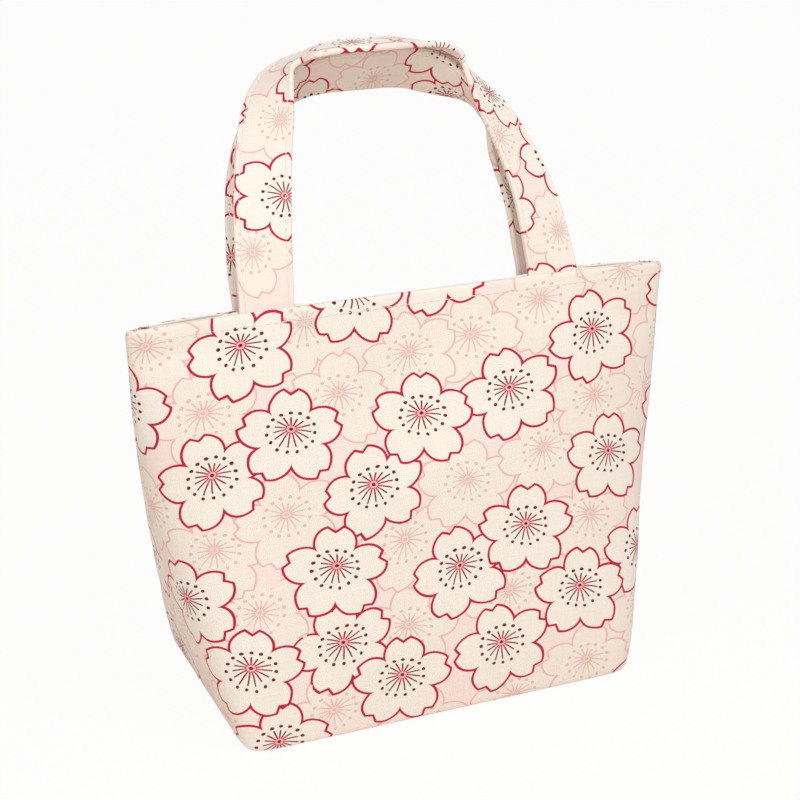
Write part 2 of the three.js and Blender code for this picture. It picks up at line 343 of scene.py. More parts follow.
def put_in_scene(name, mesh):
    piece = bpy.data.objects.new(name, mesh)
    bpy.context.scene.collection.objects.link(piece)
    return piece


BAKE_MARGIN = 0.02
BAKE_WIDTH = 0.96
BAKE_FACE_HEIGHT = 0.6
BAKE_INNER_START = 0.66
BAKE_INNER_SHARE = 0.53


def cloth_shell(name, outer, inner, flat, edge_round):
    """A closed piece of cloth from the grids of its two faces, with rounded edges."""
    rows, columns = outer.shape[:2]
    grid = np.arange(rows * columns).reshape(rows, columns)
    ring = [(0, c) for c in range(columns - 1)]
    ring += [(r, columns - 1) for r in range(rows - 1)]
    ring += [(rows - 1, c) for c in range(columns - 1, 0, -1)]
    ring += [(r, 0) for r in range(rows - 1, 0, -1)]
    ring = np.array(ring)
    within = np.stack([np.clip(ring[:, 0], 1, rows - 2), np.clip(ring[:, 1], 1, columns - 2)], axis=1)
    edge_o = outer[ring[:, 0], ring[:, 1]]
    edge_n = inner[ring[:, 0], ring[:, 1]]
    away = edge_o - outer[within[:, 0], within[:, 1]]
    away /= np.linalg.norm(away, axis=1)[:, None]
    middle = (edge_o + edge_n) / 2 + away * edge_round
    points = np.concatenate([outer.reshape(-1, 3), inner.reshape(-1, 3), middle]) * MM
    low = grid[:-1, :-1].ravel()
    quads = np.stack([low, grid[:-1, 1:].ravel(), grid[1:, 1:].ravel(), grid[1:, :-1].ravel()], axis=1)
    o_ids = grid[ring[:, 0], ring[:, 1]]
    n_ids = o_ids + rows * columns
    m_ids = 2 * rows * columns + np.arange(len(ring))
    step = np.roll(np.arange(len(ring)), -1)
    first = np.stack([o_ids, m_ids, m_ids[step], o_ids[step]], axis=1)
    second = np.stack([m_ids, n_ids, n_ids[step], m_ids[step]], axis=1)
    faces = np.concatenate([quads, quads[:, ::-1] + rows * columns, first, second])
    mesh = bpy.data.meshes.new(name)
    mesh.from_pydata(points.tolist(), [], faces.tolist())
    flat_points = flat.reshape(-1, 2)
    flat_away = flat[ring[:, 0], ring[:, 1]] - flat[within[:, 0], within[:, 1]]
    flat_away /= np.linalg.norm(flat_away, axis=1)[:, None]
    at_o = flat_points[o_ids]
    at_m = at_o + flat_away * edge_round
    at_n = at_m + flat_away * edge_round
    corner_flat = np.concatenate([
        flat_points[quads],
        flat_points[quads[:, ::-1]],
        np.stack([at_o, at_m, at_m[step], at_o[step]], axis=1),
        np.stack([at_m, at_n, at_n[step], at_m[step]], axis=1),
    ])
    reach = flat_points.max(axis=0) - flat_points.min(axis=0)
    bake = (corner_flat - flat_points.min(axis=0)) / reach
    bake = BAKE_MARGIN + bake * np.array([BAKE_WIDTH, BAKE_FACE_HEIGHT])
    hidden = slice(len(quads), 2 * len(quads))
    bake[hidden, :, 1] = BAKE_INNER_START + (bake[hidden, :, 1] - BAKE_MARGIN) * BAKE_INNER_SHARE
    lay_cloth(mesh, corner_flat, bake)
    return put_in_scene(name, mesh), corner_flat


def colour(red, green, blue):
    """A colour as the eye reads it, from 0 to 255, as the light that a shader works with."""
    parts = [c / 255 for c in (red, green, blue)]
    return tuple(c / 12.92 if c <= 0.04045 else ((c + 0.055) / 1.055) ** 2.4 for c in parts) + (1,)


def plug(tree, value, socket):
    """Gives a socket what another node puts out, or a plain value."""
    if isinstance(value, bpy.types.NodeSocket):
        tree.links.new(value, socket)
    else:
        socket.default_value = value


def maths(tree, operation, *values):
    node = tree.nodes.new("ShaderNodeMath")
    node.operation = operation
    for socket, value in zip(node.inputs, values):
        plug(tree, value, socket)
    return node.outputs[0]


def far_from(tree, x, y):
    """The distance of a place from the middle."""
    squares = maths(tree, "ADD", maths(tree, "MULTIPLY", x, x), maths(tree, "MULTIPLY", y, y))
    return maths(tree, "SQRT", squares)


def tint(tree, share, below, above):
    """Colour above laid over colour below by a share."""
    node = tree.nodes.new("ShaderNodeMix")
    node.data_type = "RGBA"
    plug(tree, share, node.inputs["Factor"])
    plug(tree, below, node.inputs[6])
    plug(tree, above, node.inputs[7])
    return node.outputs[2]


def ramp(tree, value, low, high):
    """0 below low and 1 above high, or the other way round where low is the greater."""
    node = tree.nodes.new("ShaderNodeMapRange")
    node.interpolation_type = "SMOOTHSTEP"
    turned = low > high
    tree.links.new(value, node.inputs["Value"])
    node.inputs["From Min"].default_value = high if turned else low
    node.inputs["From Max"].default_value = low if turned else high
    node.inputs["To Min"].default_value = 1 if turned else 0
    node.inputs["To Max"].default_value = 0 if turned else 1
    return node.outputs["Result"]


PETAL_MIDDLE = 0.61
PETAL_ROUND = 0.39
NOTCH_DEPTH = 0.885
NOTCH_SLOPE = 0.7
HEART_ROUND = 0.5
HEART_RISE = 0.14
STAMEN_DROP = 0.06
STAMEN_SQUASH = 0.93
STAMEN_DROOP = 0.25
STAMEN_LENGTH = 0.44
ANTHER_GAP = 0.1
STAMENS = 15
PETAL_SOFT = 0.005
LINE_SOFT = 0.004
TIP_RHYTHM = 7.3
TIP_SPREAD = 0.02
GAP_RHYTHM = 11.9
GAP_SPREAD = 0.03
FILAMENT_EDGE = (0.02, 0.011)
FILAMENT_START = (0.07, 0.085)
FILAMENT_STOP = (0.01, -0.01)
FILAMENT_FADE = (0.1, 0.2)
ANTHER_EDGE = (0.041, 0.033)
HALO_EDGE = (0.13, 0.05)
HALO_SHARE = 0.45
HEART_DOT_EDGE = (0.042, 0.034)


def blossom_ink(name, line_half, petal, line, filament, anther, heart):
    """The ink of one blossom: its petals' outline and fill, and the stamens round its heart."""
    tree = bpy.data.node_groups.new(name, "ShaderNodeTree")
    tree.interface.new_socket("Cloth", in_out="INPUT", socket_type="NodeSocketColor")
    tree.interface.new_socket("Place", in_out="INPUT", socket_type="NodeSocketVector")
    tree.interface.new_socket("Cloth", in_out="OUTPUT", socket_type="NodeSocketColor")
    entry = tree.nodes.new("NodeGroupInput")
    leave = tree.nodes.new("NodeGroupOutput")
    apart = tree.nodes.new("ShaderNodeSeparateXYZ")
    tree.links.new(entry.outputs["Place"], apart.inputs[0])
    x, y = apart.outputs[0], apart.outputs[1]
    reach = far_from(tree, x, y)
    bearing = maths(tree, "ARCTAN2", x, y)
    petal_half = math.pi / 5
    swing = maths(tree, "WRAP", bearing, petal_half, -petal_half)
    forth = maths(tree, "MULTIPLY", reach, maths(tree, "COSINE", swing))
    aside = maths(tree, "ABSOLUTE", maths(tree, "MULTIPLY", reach, maths(tree, "SINE", swing)))
    out = maths(tree, "SUBTRACT", forth, PETAL_MIDDLE)
    disc = maths(tree, "SUBTRACT", far_from(tree, out, aside), PETAL_ROUND)
    notch = maths(tree, "SUBTRACT", forth, maths(tree, "MULTIPLY_ADD", aside, NOTCH_SLOPE, NOTCH_DEPTH))
    notch = maths(tree, "DIVIDE", notch, math.hypot(1, NOTCH_SLOPE))
    edge = maths(tree, "MAXIMUM", disc, notch)
    edge = maths(tree, "MINIMUM", edge, maths(tree, "SUBTRACT", reach, HEART_ROUND))
    cloth = tint(tree, ramp(tree, edge, PETAL_SOFT, -PETAL_SOFT), entry.outputs["Cloth"], petal)
    up = maths(tree, "DIVIDE", maths(tree, "SUBTRACT", y, HEART_RISE), STAMEN_SQUASH)
    far = far_from(tree, x, up)
    droop = maths(tree, "MULTIPLY_ADD", maths(tree, "MULTIPLY", far, far), STAMEN_DROOP, up)
    round_it = maths(tree, "ARCTAN2", x, droop)
    stamen_half = math.pi / STAMENS
    lean = maths(tree, "WRAP", round_it, stamen_half, -stamen_half)
    which = maths(tree, "SUBTRACT", round_it, lean)
    tip = maths(tree, "MULTIPLY_ADD", maths(tree, "COSINE", which), -STAMEN_DROP, STAMEN_LENGTH)
    spread = maths(tree, "SINE", maths(tree, "MULTIPLY", which, TIP_RHYTHM))
    tip = maths(tree, "MULTIPLY_ADD", spread, TIP_SPREAD, tip)
    ahead = maths(tree, "MULTIPLY", far, maths(tree, "COSINE", lean))
    off = maths(tree, "ABSOLUTE", maths(tree, "MULTIPLY", far, maths(tree, "SINE", lean)))
    uneven = maths(tree, "SINE", maths(tree, "MULTIPLY", which, GAP_RHYTHM))
    stop = maths(tree, "ADD", tip, maths(tree, "MULTIPLY_ADD", uneven, GAP_SPREAD, -ANTHER_GAP))
    short = ramp(tree, maths(tree, "SUBTRACT", ahead, stop), *FILAMENT_STOP)
    thread = ramp(tree, off, *FILAMENT_EDGE)
    drawn = maths(tree, "MULTIPLY", short, ramp(tree, far, *FILAMENT_START))
    thread = maths(tree, "MULTIPLY", thread, drawn)
    thread_ink = tint(tree, ramp(tree, far, *FILAMENT_FADE), heart, filament)
    cloth = tint(tree, thread, cloth, thread_ink)
    beyond = maths(tree, "SUBTRACT", ahead, tip)
    dot = ramp(tree, far_from(tree, beyond, off), *ANTHER_EDGE)
    cloth = tint(tree, dot, cloth, anther)
    halo = maths(tree, "MULTIPLY", ramp(tree, far, *HALO_EDGE), HALO_SHARE)
    cloth = tint(tree, halo, cloth, heart)
    cloth = tint(tree, ramp(tree, far, *HEART_DOT_EDGE), cloth, anther)
    line_share = ramp(tree, maths(tree, "ABSOLUTE", edge), line_half + LINE_SOFT, line_half - LINE_SOFT)
    cloth = tint(tree, line_share, cloth, line)
    tree.links.new(cloth, leave.inputs[0])
    return tree


red_ink = blossom_ink(
    "red_blossom",
    line_half=0.0245,
    petal=colour(251, 243, 232),
    line=colour(200, 22, 62),
    filament=colour(122, 38, 52),
    anther=colour(114, 30, 46),
    heart=colour(222, 36, 78),
)
pale_ink = blossom_ink(
    "pale_blossom",
    line_half=0.018,
    petal=colour(250, 239, 227),
    line=colour(242, 194, 187),
    filament=colour(236, 204, 195),
    anther=colour(228, 202, 190),
    heart=colour(242, 188, 182),
)
BLUSH_GROUND = colour(252, 234, 226)
SLUB_STRETCHES = ((0.05, 1.4, 1), (1.4, 0.05, 1))
SLUB_HEIGHT = 1.6
SLUB_RANGE = (0.6, 1.4)
SLUB_LIGHT = 0.4
WEAVE_STRENGTH = 0.6


def woven(tree, shader, pitch, depth, base, slub):
    """Gives a shader the fine over-and-under of a plain weave, with threads that vary a little."""
    place = tree.nodes.new("ShaderNodeAttribute")
    place.attribute_name = "cloth_mm"
    apart = tree.nodes.new("ShaderNodeSeparateXYZ")
    tree.links.new(place.outputs["Vector"], apart.inputs[0])
    u, v = apart.outputs[0], apart.outputs[1]
    turn = 2 * math.pi / pitch
    warp = maths(tree, "SINE", maths(tree, "MULTIPLY", u, turn))
    weft = maths(tree, "SINE", maths(tree, "MULTIPLY", v, turn))
    height = maths(tree, "MULTIPLY", warp, weft)
    streaks = []
    for squeeze in SLUB_STRETCHES:
        stretch = tree.nodes.new("ShaderNodeMapping")
        stretch.inputs["Scale"].default_value = squeeze
        tree.links.new(place.outputs["Vector"], stretch.inputs["Vector"])
        noise = tree.nodes.new("ShaderNodeTexNoise")
        noise.inputs["Scale"].default_value = 1
        noise.inputs["Detail"].default_value = 2
        tree.links.new(stretch.outputs["Vector"], noise.inputs["Vector"])
        streaks.append(noise.outputs[0])
    threads = maths(tree, "ADD", streaks[0], streaks[1])
    height = maths(tree, "MULTIPLY_ADD", threads, SLUB_HEIGHT, height)
    bump = tree.nodes.new("ShaderNodeBump")
    bump.inputs["Strength"].default_value = WEAVE_STRENGTH
    bump.inputs["Distance"].default_value = depth
    tree.links.new(height, bump.inputs["Height"])
    tree.links.new(bump.outputs["Normal"], shader.inputs["Normal"])
    shade = tree.nodes.new("ShaderNodeMapRange")
    tree.links.new(threads, shade.inputs["Value"])
    shade.inputs["From Min"].default_value = SLUB_RANGE[0]
    shade.inputs["From Max"].default_value = SLUB_RANGE[1]
    shade.inputs["To Min"].default_value = 1 - slub
    shade.inputs["To Max"].default_value = 1 + slub * SLUB_LIGHT
    dark = tree.nodes.new("ShaderNodeMix")
    dark.data_type = "RGBA"
    dark.blend_type = "MULTIPLY"
    dark.inputs["Factor"].default_value = 1
    plug(tree, base, dark.inputs[6])
    tree.links.new(shade.outputs["Result"], dark.inputs[7])
    tree.links.new(dark.outputs[2], shader.inputs["Base Color"])


CANVAS_FINISH = {
    "Roughness": 0.88,
    "Specular IOR Level": 0.25,
    "Sheen Weight": 0.12,
    "Sheen Roughness": 0.5,
}
CANVAS_WEAVE = {"pitch": 1.1, "depth": 0.00006, "slub": 0.05}
HAND_WOBBLE = 0.12
HAND_WOBBLE_SCALE = 0.055


def new_cloth(name, finish):
    """A new material with a plain finish, its node tree and its shader."""
    cloth = bpy.data.materials.new(name)
    cloth.use_nodes = True
    shader = cloth.node_tree.nodes["Principled BSDF"]
    for socket_name, value in finish.items():
        shader.inputs[socket_name].default_value = value
    return cloth, cloth.node_tree, shader


printed_canvas, canvas_tree, canvas_shader = new_cloth("printed_canvas", CANVAS_FINISH)
wobble_place = canvas_tree.nodes.new("ShaderNodeAttribute")
wobble_place.attribute_name = "cloth_mm"
wobble = canvas_tree.nodes.new("ShaderNodeTexNoise")
wobble.inputs["Scale"].default_value = HAND_WOBBLE_SCALE
wobble.inputs["Detail"].default_value = 1
canvas_tree.links.new(wobble_place.outputs["Vector"], wobble.inputs["Vector"])
wobble_even = canvas_tree.nodes.new("ShaderNodeVectorMath")
wobble_even.operation = "SUBTRACT"
wobble_even.inputs[1].default_value = (0.5, 0.5, 0.5)
canvas_tree.links.new(wobble.outputs["Color"], wobble_even.inputs[0])
canvas_print = BLUSH_GROUND
for ink, layer in (
    (pale_ink, "pale_under"),
    (pale_ink, "pale_over"),
    (red_ink, "red_under"),
    (red_ink, "red_over"),
):
    layer_place = canvas_tree.nodes.new("ShaderNodeAttribute")
    layer_place.attribute_name = layer
    hand_drawn = canvas_tree.nodes.new("ShaderNodeVectorMath")
    hand_drawn.operation = "MULTIPLY_ADD"
    hand_drawn.inputs[1].default_value = (HAND_WOBBLE, HAND_WOBBLE, 0)
    canvas_tree.links.new(wobble_even.outputs[0], hand_drawn.inputs[0])
    canvas_tree.links.new(layer_place.outputs["Vector"], hand_drawn.inputs[2])
    printing = canvas_tree.nodes.new("ShaderNodeGroup")
    printing.node_tree = ink
    canvas_tree.links.new(hand_drawn.outputs[0], printing.inputs["Place"])
    plug(canvas_tree, canvas_print, printing.inputs["Cloth"])
    canvas_print = printing.outputs["Cloth"]
woven(canvas_tree, canvas_shader, base=canvas_print, **CANVAS_WEAVE)


def dress_in_print(piece, corner_flat, red, pale, breadth=1):
    lay_print(piece.data, corner_flat, "red", red, breadth)
    lay_print(piece.data, corner_flat, "pale", pale, breadth)
    piece.data.materials.append(printed_canvas)


# Topstitching of cream cotton thread runs just under the rim, and along each edge of the straps. The
# stitches are short grains of thread laid end to end along the cloth.
STITCH_LENGTH = 2.9
STITCH_PITCH = 3.5
THREAD = 0.55
RIM_STITCH_DROP = 5
cotton_thread, thread_tree, thread_shader = new_cloth("cotton_thread", {"Roughness": 0.7})
thread_place = thread_tree.nodes.new("ShaderNodeTexCoord")
thread_twist = thread_tree.nodes.new("ShaderNodeTexNoise")
thread_twist.inputs["Scale"].default_value = 900
thread_tree.links.new(thread_place.outputs["Object"], thread_twist.inputs["Vector"])
thread_colour = tint(thread_tree, thread_twist.outputs[0], colour(250, 243, 231), colour(236, 224, 206))
thread_tree.links.new(thread_colour, thread_shader.inputs["Base Color"])

stitch_tree = bpy.data.node_groups.new("stitch_row", "GeometryNodeTree")
stitch_tree.interface.new_socket("Geometry", in_out="INPUT", socket_type="NodeSocketGeometry")
for socket_name, socket_value in (("Pitch", STITCH_PITCH), ("Length", STITCH_LENGTH), ("Thread", THREAD)):
    socket = stitch_tree.interface.new_socket(socket_name, in_out="INPUT", socket_type="NodeSocketFloat")
    socket.default_value = socket_value * MM
stitch_tree.interface.new_socket("Geometry", in_out="OUTPUT", socket_type="NodeSocketGeometry")
stitch_in = stitch_tree.nodes.new("NodeGroupInput")
stitch_out = stitch_tree.nodes.new("NodeGroupOutput")
seam_line = stitch_tree.nodes.new("GeometryNodeMeshToCurve")
stitch_tree.links.new(stitch_in.outputs["Geometry"], seam_line.inputs["Mesh"])
spaced = stitch_tree.nodes.new("GeometryNodeResampleCurve")
spaced.mode = "LENGTH"
stitch_tree.links.new(seam_line.outputs["Curve"], spaced.inputs["Curve"])
stitch_tree.links.new(stitch_in.outputs["Pitch"], spaced.inputs["Length"])
grain = stitch_tree.nodes.new("GeometryNodeMeshUVSphere")
grain.inputs["Segments"].default_value = 6
grain.inputs["Rings"].default_value = 5
grain.inputs["Radius"].default_value = 0.5
grain_size = stitch_tree.nodes.new("ShaderNodeCombineXYZ")
stitch_tree.links.new(stitch_in.outputs["Thread"], grain_size.inputs[0])
stitch_tree.links.new(stitch_in.outputs["Thread"], grain_size.inputs[1])
stitch_tree.links.new(stitch_in.outputs["Length"], grain_size.inputs[2])
along_seam = stitch_tree.nodes.new("GeometryNodeInputTangent")
lie_along = stitch_tree.nodes.new("FunctionNodeAlignRotationToVector")
lie_along.axis = "Z"
stitch_tree.links.new(along_seam.outputs[0], lie_along.inputs["Vector"])
laid = stitch_tree.nodes.new("GeometryNodeInstanceOnPoints")
stitch_tree.links.new(spaced.outputs["Curve"], laid.inputs["Points"])
stitch_tree.links.new(grain.outputs["Mesh"], laid.inputs["Instance"])
stitch_tree.links.new(lie_along.outputs["Rotation"], laid.inputs["Rotation"])
stitch_tree.links.new(grain_size.outputs[0], laid.inputs["Scale"])
made_real = stitch_tree.nodes.new("GeometryNodeRealizeInstances")
stitch_tree.links.new(laid.outputs["Instances"], made_real.inputs["Geometry"])
threaded = stitch_tree.nodes.new("GeometryNodeSetMaterial")
threaded.inputs["Material"].default_value = cotton_thread
stitch_tree.links.new(made_real.outputs["Geometry"], threaded.inputs["Geometry"])
stitch_tree.links.new(threaded.outputs["Geometry"], stitch_out.inputs["Geometry"])


def stitch_rows(name, lines):
    """A piece of stitches along lines of points in millimetres."""
    points = []
    edges = []
    for line in lines:
        first = len(points)
        points += (np.asarray(line) * MM).tolist()
        edges += [(i, i + 1) for i in range(first, len(points) - 1)]
    seam = bpy.data.meshes.new(name + "_seam")
    seam.from_pydata(points, edges, [])
    guide = put_in_scene(name + "_seam", seam)
    guide.modifiers.new("stitch_row", "NODES").node_group = stitch_tree
    bpy.context.view_layer.update()
    mesh = bpy.data.meshes.new_from_object(guide.evaluated_get(bpy.context.evaluated_depsgraph_get()))
    mesh.polygons.foreach_set("use_smooth", np.ones(len(mesh.polygons), bool))
    bpy.data.objects.remove(guide)
    piece = put_in_scene(name, mesh)
    return piece


# The two panels are laid row by row, with the rows closest together where the cloth turns under at the
# foot and rolls over at the rim.
RIM_ROLL = 1.6
RIM_ROLL_OUTER = 0.6
RIM_ROLL_INNER = 0.25
PANEL_EDGE_ROUND = 0.5
FOOT_ROWS = (0, 0.0015, 0.005, 0.0125)
EVEN_ROWS_FROM = 0.022
EVEN_ROWS_BELOW_RIM = 4
ROWS_BELOW_RIM = np.array([2.4, RIM_ROLL, 1, 0.5, 0.2, 0])
RIM_STITCH_REACH = 0.985
RIM_STITCH_POINTS = 200
RIM_STITCH_PROUD = 0.05
panel_across = np.linspace(-1, 1, PANEL_COLUMNS)
panel_share = np.concatenate([
    FOOT_ROWS,
    np.linspace(EVEN_ROWS_FROM, 1 - EVEN_ROWS_BELOW_RIM / BAG_HEIGHT, PANEL_ROWS),
    1 - ROWS_BELOW_RIM / BAG_HEIGHT,
])
rim_roll = np.clip(1 - (1 - panel_share) * BAG_HEIGHT / RIM_ROLL, 0, 1)[:, None]
panel_depths = (RIM_ROLL_OUTER * rim_roll**2, CANVAS + RIM_ROLL_INNER * smooth_step(rim_roll, 0, 0.7))


def wall_cloth(name, side, across, share, depths, edge_round):
    """A piece of cloth on one side's wall, with its two faces at two depths inside the wall."""
    across = across if side == FRONT else across[::-1]
    outer, flat = wall_grid(across, share, depths[0], side)
    inner, _ = wall_grid(across, share, depths[1], side)
    return cloth_shell(name + "_cloth", outer, inner, flat, edge_round)


for side, panel_name in ((FRONT, "outer_front_panel"), (BACK, "outer_back_panel")):
    panel, panel_corners = wall_cloth(
        panel_name,
        side,
        panel_across,
        panel_share,
        panel_depths,
        PANEL_EDGE_ROUND,
    )
    if side == FRONT:
        dress_in_print(panel, panel_corners, RED_BLOSSOMS, PALE_BLOSSOMS)
    else:
        back_red = cut_from_cloth(RED_BLOSSOMS, BACK_CUT, RED_SPACING)
        back_pale = cut_from_cloth(PALE_BLOSSOMS, BACK_CUT, PALE_SPACING)
        dress_in_print(panel, panel_corners, back_red, back_pale)
    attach(panel, "bag")
    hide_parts(panel_name)
    stitch_share = [1 - RIM_STITCH_DROP / BAG_HEIGHT]
    stitch_across = np.linspace(-RIM_STITCH_REACH, RIM_STITCH_REACH, RIM_STITCH_POINTS)
    stitch_line = wall_grid(stitch_across, stitch_share, -RIM_STITCH_PROUD, side)[0][0]
    rim_stitches = stitch_rows(panel_name.replace("outer", "rim_stitches"), [stitch_line])
    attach(rim_stitches, "bag")

# Base panel: the flat bottom of the bag, of the same printed canvas. The walls are sewn round its edge,
# and the bag stands on it.
BASE_COLUMNS = 70
BASE_ROWS = 34
BASE_PRINT_PLACE = (0, -100)
BASE_END = 0.9999
THIN_EDGE_ROUND = 0.1


def floor_cloth(name, inset, bottom, thickness):
    share = bottom / BAG_HEIGHT
    outline_x, outline_y = level_outline(share, FRONT)
    foot = max(BASE_EDGE_RADIUS - bottom, 0)
    inset = inset + BASE_EDGE_RADIUS - math.sqrt(BASE_EDGE_RADIUS**2 - foot**2)
    half_width = outline_x.max() - inset
    half_depth = outline_y.max() - inset
    n = squareness(share)
    run = np.sin(np.linspace(-1, 1, BASE_COLUMNS) * math.pi / 2) * BASE_END
    width_at = half_depth * (1 - np.abs(run) ** n) ** (1 / n)
    rows = np.linspace(-1, 1, BASE_ROWS)
    face = np.zeros((len(rows), len(run), 3))
    face[:, :, 0] = run * half_width
    face[:, :, 1] = rows[:, None] * width_at
    under = face.copy()
    face[:, :, 2] = bottom + thickness
    under[:, :, 2] = bottom
    return cloth_shell(name, face, under, face[:, :, :2] + np.array(BASE_PRINT_PLACE), THIN_EDGE_ROUND)


base, base_corners = floor_cloth("outer_base_panel_cloth", CANVAS + CLEARANCE, 0, CANVAS)
base_red = cut_from_cloth(RED_BLOSSOMS, BASE_CUT, RED_SPACING)
base_pale = cut_from_cloth(PALE_BLOSSOMS, BASE_CUT, PALE_SPACING)
dress_in_print(base, base_corners, base_red, base_pale)
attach(base, "bag")
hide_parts("outer_base_panel")

# Lining: plain cream cotton in three pieces cut like the outside, hanging just inside it from the
# facing down to the bottom.
LINING = 0.8
LINING_TOP = 30.3
LINING_ROWS = 60
COTTON_FINISH = {"Roughness": 0.92, "Specular IOR Level": 0.2}
COTTON_CREAM = colour(240, 231, 214)
COTTON_WEAVE = {"pitch": 0.7, "depth": 0.00004, "slub": 0.06}
plain_cotton, cotton_tree, cotton_shader = new_cloth("plain_cotton", COTTON_FINISH)
woven(cotton_tree, cotton_shader, base=COTTON_CREAM, **COTTON_WEAVE)
lining_depth = CANVAS + CLEARANCE
lining_depths = (lining_depth, lining_depth + LINING)
lining_across = panel_across[::2]
lining_share = np.linspace(lining_depth / BAG_HEIGHT, 1 - LINING_TOP / BAG_HEIGHT, LINING_ROWS)
for side, lining_name in ((FRONT, "lining_front_panel"), (BACK, "lining_back_panel")):
    lining, _ = wall_cloth(
        lining_name,
        side,
        lining_across,
        lining_share,
        lining_depths,
        THIN_EDGE_ROUND,
    )
    lining.data.materials.append(plain_cotton)
    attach(lining, "bag")
    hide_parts(lining_name)
lining_inset = lining_depth + LINING + CLEARANCE
lining_base, _ = floor_cloth("lining_base_panel_cloth", lining_inset, lining_depth, LINING)
lining_base.data.materials.append(plain_cotton)
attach(lining_base, "bag")
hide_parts("lining_base_panel")

# Facings: bands of the canvas, unprinted, sewn to the rim and turned in at the mouth. The strap ends are
# caught under them, so each band stands off a little over the ends.
FACING = 1
FACING_DEPTH = 30
FACING_REACH = 0.909
FACING_COLUMNS = 140
FACING_ROWS = 24
FACING_EDGE_ROUND = 0.4
FACING_CREAM = colour(252, 246, 235)
STRAP_WIDTH = 26
STRAP_END_THICKNESS = 1.6
STRAP_END_EASE = 10
plain_canvas, plain_tree, plain_shader = new_cloth("plain_canvas", CANVAS_FINISH)
woven(plain_tree, plain_shader, base=FACING_CREAM, **CANVAS_WEAVE)
facing_across = np.linspace(-FACING_REACH, FACING_REACH, FACING_COLUMNS)
facing_share = np.linspace(1 - FACING_DEPTH / BAG_HEIGHT, 1, FACING_ROWS)
from_strap = np.abs(np.abs(facing_across * MOUTH_WIDTH / 2) - STRAP_SPACING / 2) - STRAP_WIDTH / 2
stand_off = (1 - smooth_step(from_strap, CLEARANCE, STRAP_END_EASE)) * (STRAP_END_THICKNESS + CLEARANCE)
facing_depth = CANVAS + CLEARANCE + stand_off[None, :]
facing_depths = (facing_depth, facing_depth + FACING)
for side, facing_name in ((FRONT, "facing_front"), (BACK, "facing_back")):
    facing, _ = wall_cloth(
        facing_name,
        side,
        facing_across,
        facing_share,
        facing_depths,
        FACING_EDGE_ROUND,
    )
    facing.data.materials.append(plain_canvas)
    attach(facing, "bag")
    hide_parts(facing_name)

# Straps: flat bands folded from a strip of the canvas, cut across the cloth so that the blossoms lie on
# their sides. Each is sewn in behind the rim at both ends and arches up and back, turning on the way.
STRAP_HALF_THICKNESS = 1.15
STRAP_END_LENGTH = 27
STRAP_SEAM = 10.3
STRAP_SEAM_SINK = 0.1
STRAP_SEAM_TRIM = 18
STRAP_ROWS = 240
SEWN_ROWS = 15
FREE_ROWS = 201
SMOOTHINGS = 10
STRAP_RISE = {FRONT: 103.1, BACK: 91.2}
STRAP_LEAN = {FRONT: 49.6, BACK: 51.8}
STRAP_STATIONS = {
    FRONT: [
        ((1, 0, 0), (1, 0, 0)),
        ((0.937, 0.355, 0.369), (0.96, -0.25, 0.1)),
        ((0.793, 0.826, 0.686), (0.74, -0.67, -0.03)),
        ((0.622, 1.169, 0.888), (0.22, -0.94, 0.26)),
        ((0.347, 1.107, 0.977), (-0.42, -0.9, 0.08)),
        ((0, 1, 1), (0, -0.99, 0.1)),
    ],
    BACK: [
        ((1, 0, 0), (1, 0, 0)),
        ((0.947, 0.415, 0.306), (0.75, -0.64, 0.19)),
        ((0.877, 0.704, 0.554), (0.55, -0.83, 0.01)),
        ((0.778, 0.868, 0.781), (0.17, -0.98, 0.04)),
        ((0.461, 1.053, 0.955), (-0.24, -0.6, 0.77)),
        ((0, 1, 1), (0, -0.56, 0.83)),
    ],
}


def eased_curve(stations, count):
    """A smooth curve through stations, with its speed eased where they lie close together."""
    points = np.asarray(stations, float)
    last = len(points) - 1
    at = np.linspace(0, last, count)
    i = np.minimum(at.astype(int), last - 1)
    w = (at - i)[:, None]
    p1 = points[i]
    p2 = points[i + 1]
    p0 = np.where((i > 0)[:, None], points[np.maximum(i - 1, 0)], 2 * points[0] - points[1])
    past = 2 * points[last] - points[last - 1]
    p3 = np.where((i + 2 <= last)[:, None], points[np.minimum(i + 2, last)], past)
    d0 = np.linalg.norm(p1 - p0, axis=1)[:, None] ** 0.5
    d1 = np.linalg.norm(p2 - p1, axis=1)[:, None] ** 0.5
    d2 = np.linalg.norm(p3 - p2, axis=1)[:, None] ** 0.5
    m1 = ((p1 - p0) / d0 - (p2 - p0) / (d0 + d1) + (p2 - p1) / d1) * d1
    m2 = ((p2 - p1) / d1 - (p3 - p1) / (d1 + d2) + (p3 - p2) / d2) * d1
    return p1 + m1 * w + (3 * (p2 - p1) - 2 * m1 - m2) * w**2 + (2 * (p1 - p2) + m1 + m2) * w**3


def strap_foot(side):
    """The height at which a strap comes out: just over the highest bit of rim in its width."""
    across = (STRAP_SPACING + np.array([-1, 0, 1]) * STRAP_WIDTH) / MOUTH_WIDTH
    return float(rim_height(across, side).max()) + CLEARANCE


